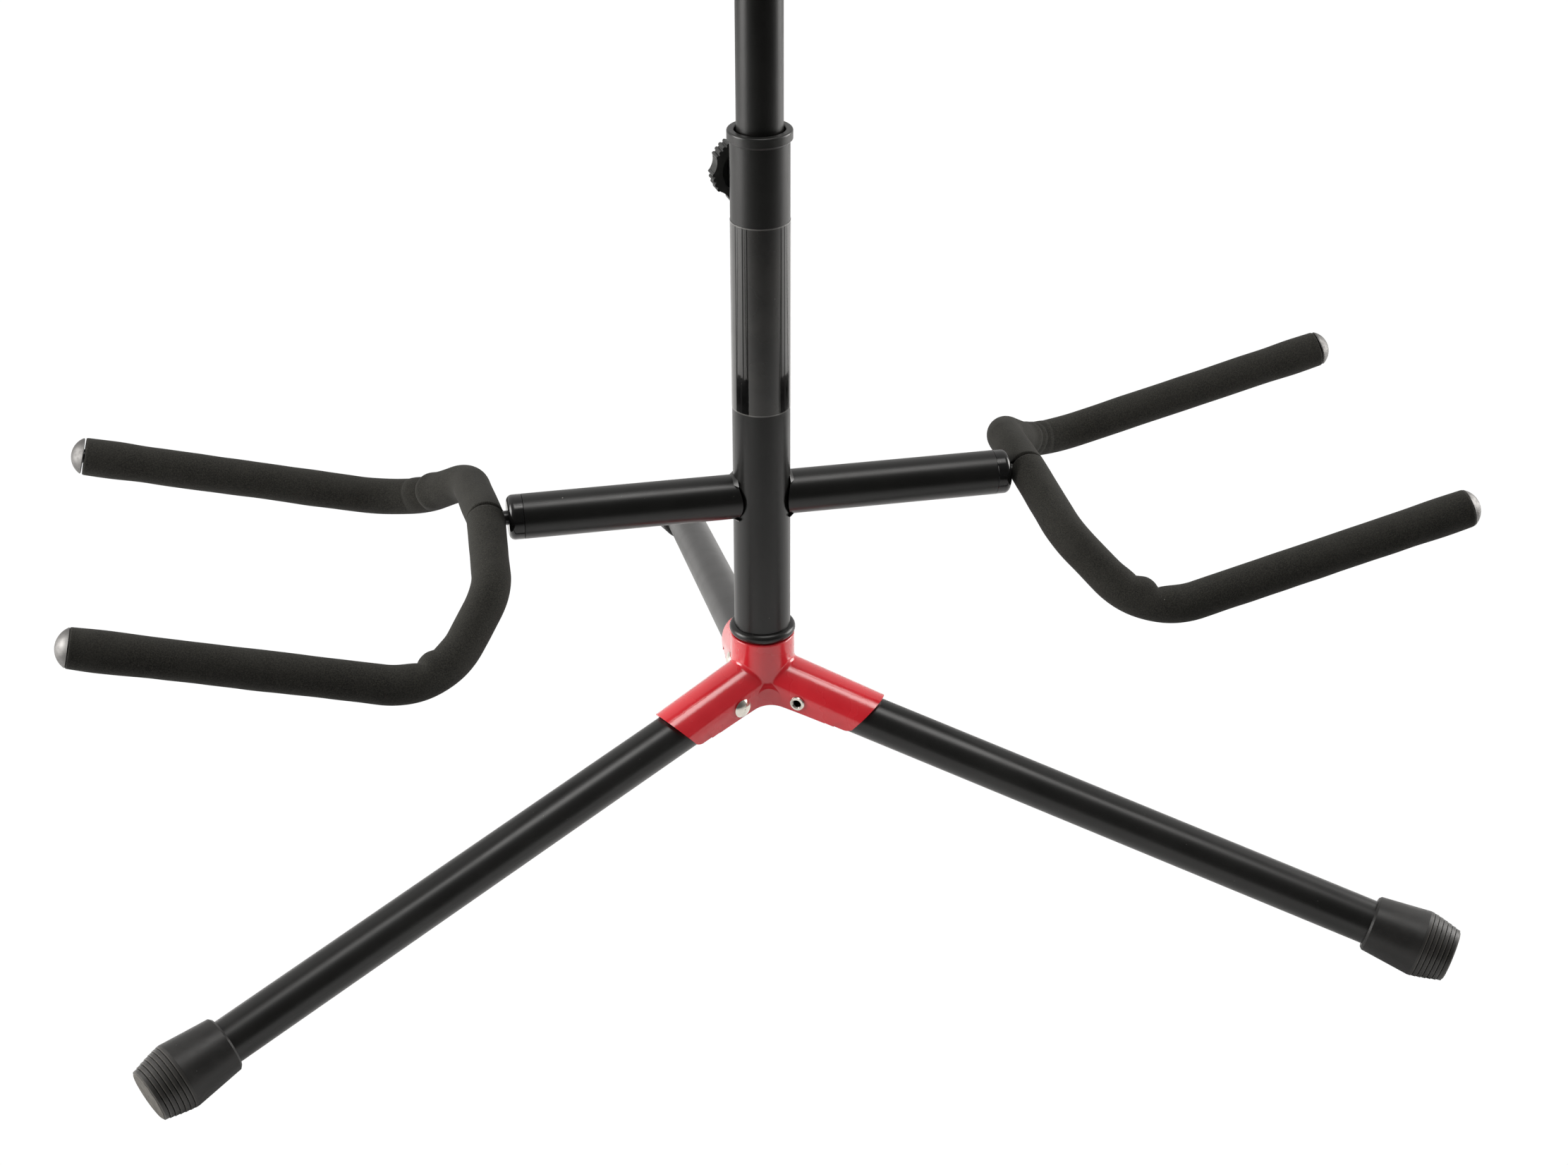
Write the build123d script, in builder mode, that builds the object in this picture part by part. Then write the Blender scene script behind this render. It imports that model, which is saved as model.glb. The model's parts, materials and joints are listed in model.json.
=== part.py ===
from build123d import *
import os
from math import cos, radians, sin, sqrt, tan

# Double guitar stand: folding tripod base, fixed mast with a cross tube, telescoping upper mast.
# Millimetres, +Z up, +X along the cross tube towards the right-hand yoke, +Y towards the rear leg.
# The pieces are drawn round the mast axis. write() then moves them together, so that the origin
# is on the floor in the middle of the stand's box. Each sub-part is one node, parts/NAME.step.

os.makedirs("parts", exist_ok=True)

# ---- stock -----------------------------------------------------------------------------------
MAST_OD = 32.0  # outer mast tube
TUBE_OD = 25.0  # legs, cross tube, upper mast and neck bar share one tube
TUBE_WALL = 1.5
ROD_D = 8.0  # bent rod of the yokes
RUNNING = 0.05  # radial clearance of a shaft that turns or slides in its hole
CLEAR = 40.0  # reach of a cut beyond the metal it goes through
BOX_MIDDLE = (0, 90.55, 0)  # middle of the stand's footprint, from the mast axis

MAST_R = MAST_OD / 2
MAST_BORE_R = MAST_R - TUBE_WALL
TUBE_R = TUBE_OD / 2
TUBE_BORE_R = TUBE_R - TUBE_WALL
ROD_R = ROD_D / 2

# ---- tripod ----------------------------------------------------------------------------------
LEG_AZIMUTHS = (88.0, 208.0, 328.0)  # the hub is clenched 2 degrees clockwise of the cross tube
LEG_SLOPE = 13.4  # leg axis below horizontal when spread
PIVOT_RADIUS = 27.0  # leg rivet from the mast axis
PIVOT_Z = 104.0
LEG_INNER_END = 4.7  # tube end beyond the rivet, short enough to turn under the roof
FOOT_START = 341.9  # distances along the leg from the rivet
FOOT_RIDGE = 370.4
FOOT_END = 388.9
FOOT_R = (15.7, 18.7, 14.3)  # radius at the collar, the first ridge and the end face
FOOT_RIDGES = 7
FOOT_EDGE = 1.2  # chamfer of the foot's collar
FOOT_FACE_EDGE = 0.6
FOOT_CURVE = 1.25  # how the ribbed end curves inwards
RIDGE_LAND = (0.78, 0.35)  # share of a rib's pitch that is crest, and how far the crest falls
RIDGE_GROOVE = (0.86, 0.25)  # where the groove starts, and how deep it is cut
TUBE_IN_FOOT = 27.0

SHEET = 2.0
COLLAR_R = 18.35
COLLAR_TOP = 139.0
SKIRT_Z = 104.9  # apex of the cone that trims the hub's lower edge
WING_R = 14.9  # outer half-width of a wing
WING_RISE = 2.6  # the roof stands this much higher at the mast than at the wing's mouth
WING_END = 73.0
MOUTH_TOP = 44.0  # distances along the leg from the rivet to the mouth's top and lower corners
MOUTH_FOOT = 33.5
MOUTH_DROP = 5.7  # lower corners below the leg axis
MOUTH_CORNER = 6.0
MOUTH_BACK = 15.0  # the lower corners are cleared this far back
HUB_BASE = 85.0  # lower than anything left of the hub
WEB_R = 16.0  # hollow curve between the facing flanks of two channels
WEB_TOP = (113.5, 107.2)  # the web slopes from the collar down to the flanks
WEB_EDGE = 2.0
WEB_SINK = 0.05  # the web's ends are let this far into the flanks
HUB_BLEND = 3.0
NECKLINE = (108.0, 127.0)  # the collar meets the channels between these heights
HUB_LIP = 0.8  # rounding of the collar's rim
WING_FORM = (-24.0, 46.0, 12.0)  # start, end and drop of a channel's outside
WING_HOLLOW = (-26.0, 60.0, 20.0)  # and of its inside
DENT_ALONG = 29.5  # half-moon detent on each flank
DENT_DROP = 6.3
DENT_R = 5.5
DENT_DEPTH = 0.6
RIVET_R = 3.0
RIVET_BORE_R = 2.2
RIVET_HEAD_R = 5.6
RIVET_HEAD_RISE = 2.6
RIVET_RIM = (0.2, 0.6)  # rolled edge of the head, inwards and along
EYELET_R = 4.4
EYELET_ROLL = (0.4, 1.6)  # crest and inner edge of the rolled rim, in from its outside
EYELET_RISE = (0.7, 1.3, 1.5, 0.8)  # its edge, crest, inner edge and throat above the flank

# ---- mast ------------------------------------------------------------------------------------
MAST_FOOT = 118.5
MAST_TOP = 433.7
MAST_FLARE = 1.0  # the foot is clenched outwards by this much
MAST_FLARE_H = 1.6
BEAD_Z = 142.2
BEAD_R = 2.9
LABEL_Z = (282.0, 390.5)
LABEL_THICK = 0.15
BUSH_FLANGE_R = 17.4
BUSH_TOP = 440.2
BUSH_FOOT = 389.0
BUSH_EDGE = 1.0  # rounded outer edge of the flange, and how much of it is left at 45 degrees
BUSH_EDGE_MID = 0.3
BUSH_SKIRT = (0.2, 1.4)  # the flange's underside slopes out from the mast by this height
BUSH_MOUTH = ((1.5, 0.0), (1.1, 0.4), (1.0, 4.0), (RUNNING, 7.0))  # gap round the tube, depth
CLAMP_Z = 409.0
CLAMP_AZIMUTH = 97.0
CLAMP_R = 4.0  # M8 screw, drawn plain at its outer diameter
SCREW_PLAY = 0.1

# ---- cross tube and yokes --------------------------------------------------------------------
CROSS_Z = 227.2
CROSS_END = 133.7
CAP_SHOW = 8.4
CAP_SPIGOT = 22.0
CAP_ROUND = 3.4
CAP_SEAM = 0.35  # small chamfer where the cap meets the tube's end
COPE_R = 26.0  # the stub ends are notched with a larger radius than the mast
STUB_ROOT = 5.0  # the stubs are drawn from here before they are notched
WELD = 1.3
WELD_FLAT = 10.5  # no weld within this height of the cross tube's axis

YOKE_BACK = 154.0  # yoke rod's centreline at the pivot, from the mast axis
YOKE_KNEE = (157.5, 65.4, -8.0)
YOKE_CORNER_X = 191.0
YOKE_HALF_SPAN = 108.7
YOKE_TIP_X = 375.4
YOKE_TIP_Z = 8.7
YOKE_TILT = 14.8  # arms rise outwards
YOKE_BENDS = (37.0, 45.0)
FOAM_R = 10.5
FOAM_PLAY = 0.3  # gaps round the foam, so that it clears what it touches
DOME_R = 10.2
DOME_RISE = 6.5
DOME_RIM = (0.4, 0.6)  # rolled edge of the dome, inwards and along
DOME_SOCKET = 4.0
WASHER = (8.5, 1.0)  # outer radius and thickness
CLIP = (7.0, 1.2)
ROD_TAIL = 6.0  # rod inside the cross tube, beyond the cap's spigot

# ---- upper mast and neck yokes ---------------------------------------------------------------
UPPER_FOOT = 300.0
NECK_Z = 690.0
NECK_END = 60.0
NECK_BACK = 80.5
NECK_HALF_SPAN = 38.0
NECK_TIP = (165.0, 22.0)
NECK_BEND = 24.0
NECK_FOAM_R = 10.0
NECK_WELD = 2.6
NECK_WELD_HALF = 9.0  # half-length of each bead across the bar
SLEEVE_LENGTH = 25.0
SLEEVE_STOP = 3.0  # thickness of the sleeve's foot under the tube
SLEEVE_EDGE = 0.8


def write(part, label):
    """Move a finished sub-part into the stand's frame, label it and write its STEP file."""
    placed = part.moved(Location(-Vector(BOX_MIDDLE)))
    placed.label = label
    export_step(placed, f"parts/{label}.step")


def outward(azimuth):
    """Unit vector away from the mast at an azimuth."""
    return Vector(cos(radians(azimuth)), sin(radians(azimuth)), 0)


def leg_plane(azimuth):
    """Plane at a leg's rivet: z runs down the leg, x is level along the rivet, y is up."""
    away = outward(azimuth)
    along = away * cos(radians(LEG_SLOPE)) - Vector(0, 0, sin(radians(LEG_SLOPE)))
    across = Vector(sin(radians(azimuth)), -cos(radians(azimuth)), 0)
    pivot = away * PIVOT_RADIUS + Vector(0, 0, PIVOT_Z)
    return Plane(origin=pivot, x_dir=-across, z_dir=along)


def revolve_plane(frame):
    """Plane through an axis plane's normal, for profiles drawn as (radius, distance along it)."""
    return Plane(origin=frame.origin, x_dir=frame.x_dir, z_dir=frame.x_dir.cross(frame.z_dir))


def side_plane(side, x=0.0, z=0.0):
    """Plane across the X axis whose normal points to one side of the stand."""
    return Plane(origin=(side * x, 0, z), x_dir=(0, 1, 0), z_dir=(side, 0, 0))


SIDES = {"left": -1, "right": 1}


# ============================================================================================
# Tripod hub: deep-drawn steel, a collar and three inverted channels
# ============================================================================================
def wing_section(plane, half_width, rise, drop):
    """Arched channel outline across a leg: round roof and straight flanks."""
    with BuildSketch(plane) as section:
        with Locations((0, rise)):
            Circle(half_width)
        with Locations((0, rise - (rise + drop) / 2)):
            Rectangle(2 * half_width, rise + drop)
    return section.sketch


def wing(azimuth, half_width, start, end, drop):
    """Solid channel form lofted from the mast out to the mouth."""
    plane = leg_plane(azimuth)
    span = WING_END - PIVOT_RADIUS
    rises = [WING_RISE * (1 - (s + PIVOT_RADIUS) / (span + PIVOT_RADIUS)) for s in (start, end)]
    with BuildPart() as form:
        for s, rise in zip((start, end), rises):
            add(wing_section(plane.offset(s), half_width, rise, drop))
        loft()
    return form.part


wing_forms = [wing(a, WING_R, *WING_FORM) for a in LEG_AZIMUTHS]
wing_hollows = [wing(a, WING_R - SHEET, *WING_HOLLOW) for a in LEG_AZIMUTHS]


def web(azimuth):
    """Rounded web that joins the facing flanks of two channels and runs up into the collar."""
    gap = radians(60)
    along = (WING_R + WEB_R) / tan(gap)
    inside = WING_R - WEB_SINK
    corner = (along * cos(gap) + inside * sin(gap), along * sin(gap) - inside * cos(gap))
    rim = sqrt(corner[0] ** 2 + corner[1] ** 2)
    fall = (WEB_TOP[0] - WEB_TOP[1]) / (rim - COLLAR_R)
    with BuildPart() as form:
        with BuildSketch(Plane(origin=(0, 0, HUB_BASE), x_dir=outward(azimuth), z_dir=(0, 0, 1))):
            with BuildLine():
                Line((0, 0), (corner[0], -corner[1]))
                ThreePointArc(
                    (corner[0], -corner[1]),
                    ((WING_R + WEB_R) / sin(gap) - WEB_R, 0),
                    corner,
                )
                Line(corner, (0, 0))
            make_face()
        extrude(amount=CLEAR)
        with BuildSketch(Plane.XZ):
            with BuildLine():
                Polyline(
                    (0, WEB_TOP[0] + fall * COLLAR_R),
                    (3 * CLEAR, WEB_TOP[0] + fall * (COLLAR_R - 3 * CLEAR)),
                    (3 * CLEAR, 5 * CLEAR),
                    (0, 5 * CLEAR),
                    close=True,
                )
            make_face()
        revolve(axis=Axis.Z, mode=Mode.SUBTRACT)
        rim_edges = [e for e in form.edges() if e.length > WEB_R and e.center().Z > WEB_TOP[1]]
        fillet(rim_edges, radius=WEB_EDGE)
    return form.part


def is_neckline(edge):
    """True for the edges that run round the collar where it meets the channels and webs."""
    ends = [sqrt(point.X**2 + point.Y**2) for point in (edge @ 0, edge @ 1)]
    on_collar = max(abs(end - COLLAR_R) for end in ends) < RUNNING
    return on_collar and NECKLINE[0] < edge.center().Z < NECKLINE[1]


with BuildPart() as tripod_hub:
    with BuildSketch(Plane.XY.offset(HUB_BASE)):
        Circle(COLLAR_R)
    extrude(amount=COLLAR_TOP - HUB_BASE)
    add(wing_forms)
    add([web(azimuth + 60) for azimuth in LEG_AZIMUTHS])
    fillet(tripod_hub.edges().filter_by(is_neckline), radius=HUB_BLEND)
    # mouths cut on a slant, the roof reaching furthest out and the lower corners rounded off
    for azimuth in LEG_AZIMUTHS:
        frame = leg_plane(azimuth)
        with BuildSketch(Plane(frame.origin, x_dir=frame.z_dir, z_dir=frame.x_dir)):
            with BuildLine():
                FilletPolyline(
                    (2 * MOUTH_TOP - MOUTH_FOOT, -2 * WING_R - MOUTH_DROP),
                    (MOUTH_FOOT, MOUTH_DROP),
                    (MOUTH_FOOT - MOUTH_BACK, MOUTH_DROP),
                    radius=MOUTH_CORNER,
                )
                Polyline(
                    (MOUTH_FOOT - MOUTH_BACK, MOUTH_DROP),
                    (MOUTH_FOOT - MOUTH_BACK, CLEAR),
                    (2 * MOUTH_TOP - MOUTH_FOOT, CLEAR),
                    (2 * MOUTH_TOP - MOUTH_FOOT, -2 * WING_R - MOUTH_DROP),
                )
            make_face()
        extrude(amount=CLEAR, both=True, mode=Mode.SUBTRACT)
    # the sheet's inside: collar bore, a wider bore round the clenched mast, and the channels
    with BuildSketch(Plane.XY.offset(HUB_BASE)):
        Circle(MAST_R + RUNNING)
    extrude(amount=COLLAR_TOP - HUB_BASE, mode=Mode.SUBTRACT)
    with BuildSketch(Plane.XY.offset(HUB_BASE)):
        Circle(MAST_R + MAST_FLARE + 2 * RUNNING)
    extrude(amount=MAST_FOOT + MAST_FLARE_H + RUNNING - HUB_BASE, mode=Mode.SUBTRACT)
    add(wing_hollows, mode=Mode.SUBTRACT)
    # lower edge, trimmed to a cone that follows the legs
    with BuildSketch(Plane.XZ):
        with BuildLine():
            Polyline(
                (0, SKIRT_Z),
                (3 * CLEAR, SKIRT_Z - 3 * CLEAR * tan(radians(LEG_SLOPE))),
                (3 * CLEAR, CLEAR),
                (0, CLEAR),
                close=True,
            )
        make_face()
    revolve(axis=Axis.Z, mode=Mode.SUBTRACT)
    # rivet holes, and a half-moon detent pressed into each flank near its mouth
    for azimuth in LEG_AZIMUTHS:
        frame = leg_plane(azimuth)
        with BuildSketch(Plane(frame.origin, x_dir=frame.z_dir, z_dir=frame.x_dir)):
            Circle(RIVET_R + RUNNING)
        extrude(amount=CLEAR, both=True, mode=Mode.SUBTRACT)
        for flank in (-1, 1):
            dent = frame.from_local_coords((flank * WING_R, -DENT_DROP, DENT_ALONG))
            with BuildSketch(Plane(dent, x_dir=frame.z_dir, z_dir=frame.x_dir * flank)):
                Circle(DENT_R)
            extrude(amount=-DENT_DEPTH, mode=Mode.SUBTRACT)
    fillet(tripod_hub.edges().group_by(Axis.Z)[-1].sort_by(SortBy.LENGTH)[-1], radius=HUB_LIP)
write(tripod_hub.part, "tripod_hub")


# ============================================================================================
# Fixed mast: tube with a rolled bead above the hub and a flared end clenched below it
# ============================================================================================
clamp_frame = Plane(
    origin=(0, 0, CLAMP_Z),
    x_dir=(-sin(radians(CLAMP_AZIMUTH)), cos(radians(CLAMP_AZIMUTH)), 0),
    z_dir=outward(CLAMP_AZIMUTH),
)

with BuildPart() as mast_tube:
    with BuildSketch(Plane.XZ):
        with BuildLine():
            Polyline(
                (MAST_BORE_R, MAST_TOP),
                (MAST_R, MAST_TOP),
                (MAST_R, BEAD_Z + BEAD_R),
            )
            ThreePointArc(
                (MAST_R, BEAD_Z + BEAD_R),
                (MAST_R + BEAD_R, BEAD_Z),
                (MAST_R, BEAD_Z - BEAD_R),
            )
            Polyline(
                (MAST_R, BEAD_Z - BEAD_R),
                (MAST_R, MAST_FOOT + MAST_FLARE_H),
                (MAST_R + MAST_FLARE, MAST_FOOT),
                (MAST_BORE_R + MAST_FLARE, MAST_FOOT),
                (MAST_BORE_R, MAST_FOOT + MAST_FLARE_H),
                (MAST_BORE_R, MAST_TOP),
            )
        make_face()
    revolve(axis=Axis.Z)
    with BuildSketch(clamp_frame):
        Circle(CLAMP_R + 2 * SCREW_PLAY)
    extrude(amount=CLEAR, mode=Mode.SUBTRACT)
write(mast_tube.part, "mast_tube")

with BuildPart() as mast_label:
    with BuildSketch(Plane.XY.offset(LABEL_Z[0])):
        Circle(MAST_R + LABEL_THICK)
        Circle(MAST_R, mode=Mode.SUBTRACT)
    extrude(amount=LABEL_Z[1] - LABEL_Z[0])
write(mast_label.part, "mast_label")

with BuildPart() as collar_bush:
    with BuildSketch(Plane.XZ):
        with BuildLine():
            Polyline(
                (TUBE_R + RUNNING, BUSH_FOOT),
                (MAST_BORE_R - RUNNING, BUSH_FOOT),
                (MAST_BORE_R - RUNNING, MAST_TOP),
                (MAST_R + BUSH_SKIRT[0], MAST_TOP),
                (BUSH_FLANGE_R, MAST_TOP + BUSH_SKIRT[1]),
                (BUSH_FLANGE_R, BUSH_TOP - BUSH_EDGE),
            )
            ThreePointArc(
                (BUSH_FLANGE_R, BUSH_TOP - BUSH_EDGE),
                (BUSH_FLANGE_R - BUSH_EDGE_MID, BUSH_TOP - BUSH_EDGE_MID),
                (BUSH_FLANGE_R - BUSH_EDGE, BUSH_TOP),
            )
            Polyline(
                (BUSH_FLANGE_R - BUSH_EDGE, BUSH_TOP),
                *[(TUBE_R + gap, BUSH_TOP - depth) for gap, depth in BUSH_MOUTH],
                (TUBE_R + RUNNING, BUSH_FOOT),
            )
        make_face()
    revolve(axis=Axis.Z)
    with BuildSketch(clamp_frame):
        Circle(CLAMP_R + SCREW_PLAY)
    extrude(amount=CLEAR, mode=Mode.SUBTRACT)
write(collar_bush.part, "collar_bush")

# ============================================================================================
# Height clamp: welded nut, screw moulded into a fluted hand knob, and a pad on the screw's tip
# ============================================================================================
NUT_FLATS = 13.0
NUT_BACK = 12.0  # distances from the mast axis
NUT_FACE = 22.2
PAD = (TUBE_R + 0.1, TUBE_R + 2.5)
PAD_EDGE = 0.3
SCREW_HEAD = (27.0, 31.5)
KNOB = (23.4, 33.0)
KNOB_CROWN = 1.2  # height of the domed edge on the outer face
KNOB_CROWN_IN = 1.6
KNOB_R = 17.7
KNOB_LOBES = 6
KNOB_PHASE = 29.0  # how far round the first group of ribs stands
RIBS = 4  # in each group
RIB_R = 1.1
RIB_ARC = 28.5
SCALLOP = (26.2, 9.4, 44.2)  # distance out, radius, and angle from the group's first rib
KNOB_POCKET = (13.2, 9.0, 6.0)  # outer radius, core radius and depth of the hollow
CORE_SINK = 1.0

with BuildPart() as clamp_nut:
    with BuildSketch(clamp_frame.offset(NUT_BACK)):
        RegularPolygon(radius=NUT_FLATS / 2, side_count=6, major_radius=False)
        Circle(CLAMP_R + RUNNING, mode=Mode.SUBTRACT)
    extrude(amount=NUT_FACE - NUT_BACK)
    with BuildSketch(Plane.XY.offset(CLAMP_Z)):
        Circle(MAST_R)
    extrude(amount=NUT_FLATS, both=True, mode=Mode.SUBTRACT)
write(clamp_nut.part, "clamp_nut")

with BuildPart() as clamp_pad:
    with BuildSketch(clamp_frame.offset(PAD[0])):
        Circle(CLAMP_R - RUNNING)
    extrude(amount=PAD[1] - PAD[0])
    chamfer(clamp_pad.edges(), length=PAD_EDGE)
write(clamp_pad.part, "clamp_pad")

with BuildPart() as clamp_screw:
    with BuildSketch(clamp_frame.offset(PAD[1])):
        Circle(CLAMP_R)
    extrude(amount=SCREW_HEAD[0] - PAD[1])
    with BuildSketch(clamp_frame.offset(SCREW_HEAD[0])):
        RegularPolygon(radius=NUT_FLATS / 2, side_count=6, major_radius=False)
    extrude(amount=SCREW_HEAD[1] - SCREW_HEAD[0])
write(clamp_screw.part, "clamp_screw")

with BuildPart() as clamp_knob:
    # six groups of four ribs, with a wide scallop for a finger between each two groups
    with BuildSketch(clamp_frame.offset(KNOB[0])):
        Circle(KNOB_R)
        for lobe in range(KNOB_LOBES):
            turn = KNOB_PHASE + 360 / KNOB_LOBES * lobe
            with PolarLocations(KNOB_R, RIBS, start_angle=turn, angular_range=RIB_ARC, endpoint=True):
                Circle(RIB_R)
            with PolarLocations(SCALLOP[0], 1, start_angle=turn + SCALLOP[2]):
                Circle(SCALLOP[1], mode=Mode.SUBTRACT)
    extrude(amount=KNOB[1] - KNOB[0] - KNOB_CROWN)
    with BuildSketch(clamp_frame.offset(KNOB[1] - KNOB_CROWN)):
        Circle(KNOB_R - KNOB_CROWN_IN)
    extrude(amount=KNOB_CROWN, taper=40)
    # hollow towards the mast, round a core that holds the screw's head
    with BuildSketch(clamp_frame.offset(KNOB[0])):
        Circle(KNOB_POCKET[0])
        Circle(KNOB_POCKET[1], mode=Mode.SUBTRACT)
    extrude(amount=KNOB_POCKET[2], mode=Mode.SUBTRACT)
    with BuildSketch(clamp_frame.offset(KNOB[0])):
        Circle(KNOB_POCKET[1])
    extrude(amount=CORE_SINK, mode=Mode.SUBTRACT)
    with BuildSketch(clamp_frame.offset(KNOB[0])):
        Circle(CLAMP_R)
    extrude(amount=SCREW_HEAD[0] - KNOB[0], mode=Mode.SUBTRACT)
    with BuildSketch(clamp_frame.offset(SCREW_HEAD[0])):
        RegularPolygon(radius=NUT_FLATS / 2, side_count=6, major_radius=False)
    extrude(amount=SCREW_HEAD[1] - SCREW_HEAD[0], mode=Mode.SUBTRACT)
write(clamp_knob.part, "clamp_knob")

# ============================================================================================
# Cross tube: two stubs notched over the mast and welded top and bottom, with bearing end caps
# ============================================================================================
def cross_stub(side):
    """One half of the cross tube."""
    with BuildPart() as stub:
        with BuildSketch(side_plane(side, STUB_ROOT, CROSS_Z)):
            Circle(TUBE_R)
            Circle(TUBE_BORE_R, mode=Mode.SUBTRACT)
        extrude(amount=CROSS_END - STUB_ROOT)
        with BuildSketch(Plane.XY.offset(CROSS_Z)):
            with Locations((side * (MAST_R - COPE_R), 0)):
                Circle(COPE_R)
        extrude(amount=TUBE_OD, both=True, mode=Mode.SUBTRACT)
    return stub.part


def bearing_cap(side, x, z):
    """Moulded end cap: rounded head over the tube's end, long spigot bored for the yoke's rod."""
    with BuildPart() as cap:
        with BuildSketch(side_plane(side, x, z)):
            Circle(TUBE_R)
        extrude(amount=CAP_SHOW)
        fillet(cap.faces().sort_by(Axis.X)[-1 if side > 0 else 0].edges(), radius=CAP_ROUND)
        chamfer(cap.faces().sort_by(Axis.X)[0 if side > 0 else -1].edges(), length=CAP_SEAM)
        with BuildSketch(side_plane(side, x - CAP_SPIGOT, z)):
            Circle(TUBE_BORE_R - RUNNING)
        extrude(amount=CAP_SPIGOT + CAP_SEAM + RUNNING)
        with BuildSketch(side_plane(side, x, z)):
            Circle(ROD_R + RUNNING)
        extrude(amount=CLEAR, both=True, mode=Mode.SUBTRACT)
    return cap.part


for name, side in SIDES.items():
    write(cross_stub(side), f"cross_tube_{name}")
    write(bearing_cap(side, CROSS_END, CROSS_Z), f"cross_cap_{name}")

with BuildPart() as cross_tube_welds:
    # fillet weld: a tapering ring round each stub's end, kept only at the top and the bottom
    for side in SIDES.values():
        with BuildSketch(side_plane(side, MAST_R - WELD, CROSS_Z)):
            Circle(TUBE_R + 1.5 * WELD)
        extrude(amount=2 * WELD, taper=40)
    for side in SIDES.values():
        with BuildSketch(side_plane(side, STUB_ROOT, CROSS_Z)):
            Circle(TUBE_R)
        extrude(amount=CLEAR, mode=Mode.SUBTRACT)
    with BuildSketch(Plane.XY.offset(CROSS_Z)):
        Circle(MAST_R)
    extrude(amount=CLEAR, both=True, mode=Mode.SUBTRACT)
    with BuildSketch(Plane.XY.offset(CROSS_Z)):
        Rectangle(2 * CLEAR, 2 * CLEAR)
    extrude(amount=WELD_FLAT, both=True, mode=Mode.SUBTRACT)
write(cross_tube_welds.part, "cross_tube_welds")


# ============================================================================================
# Yokes: bent rod with a pivot stub, two foam sleeves, domed ends, washer and push-on clip
# ============================================================================================
def half_line(side, lateral, points, bends):
    """Rounded centreline of one arm, from the pivot out to the tip."""
    placed = [Vector(side * x, lateral * y, z) for x, y, z in points]
    with BuildLine() as line:
        FilletPolyline(*placed, radius=bends)
    return line.line


def tube_on(line, outer, inner):
    """Round section swept along a line: a rod, or a sleeve when an inner radius is given."""
    with BuildPart() as swept:
        with BuildLine():
            add(line)
        with BuildSketch(Plane(origin=line @ 0, z_dir=line % 0)):
            Circle(outer)
            if inner:
                Circle(inner, mode=Mode.SUBTRACT)
        sweep(path=line)
    return swept.part


def dome_arc(radius, start, rise):
    """Start, middle and end of a spherical outline from the rim up to the crown on the axis."""
    height = rise - start
    ball = (radius**2 + height**2) / (2 * height)
    middle = rise - ball + sqrt(ball**2 - (radius / 2) ** 2)
    return (radius, start), (radius / 2, middle), (0, rise)


def dome_cap(plane, radius, rise):
    """Domed push-on cap: spherical face, slightly rolled rim, and a blind socket for the rod."""
    with BuildPart() as cap:
        with BuildSketch(revolve_plane(plane)):
            with BuildLine():
                Polyline((0, 0), (radius - DOME_RIM[0], 0), (radius, DOME_RIM[1]))
                ThreePointArc(*dome_arc(radius, DOME_RIM[1], rise))
                Line((0, rise), (0, 0))
            make_face()
        revolve(axis=Axis(plane.origin, plane.z_dir))
        with BuildSketch(plane):
            Circle(ROD_R)
        extrude(amount=DOME_SOCKET, mode=Mode.SUBTRACT)
    return cap.part


def ring(plane, outer, inner, thickness):
    """Flat washer or clip standing on a plane."""
    with BuildPart() as washer:
        with BuildSketch(plane):
            Circle(outer)
            Circle(inner, mode=Mode.SUBTRACT)
        extrude(amount=thickness)
    return washer.part


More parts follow.
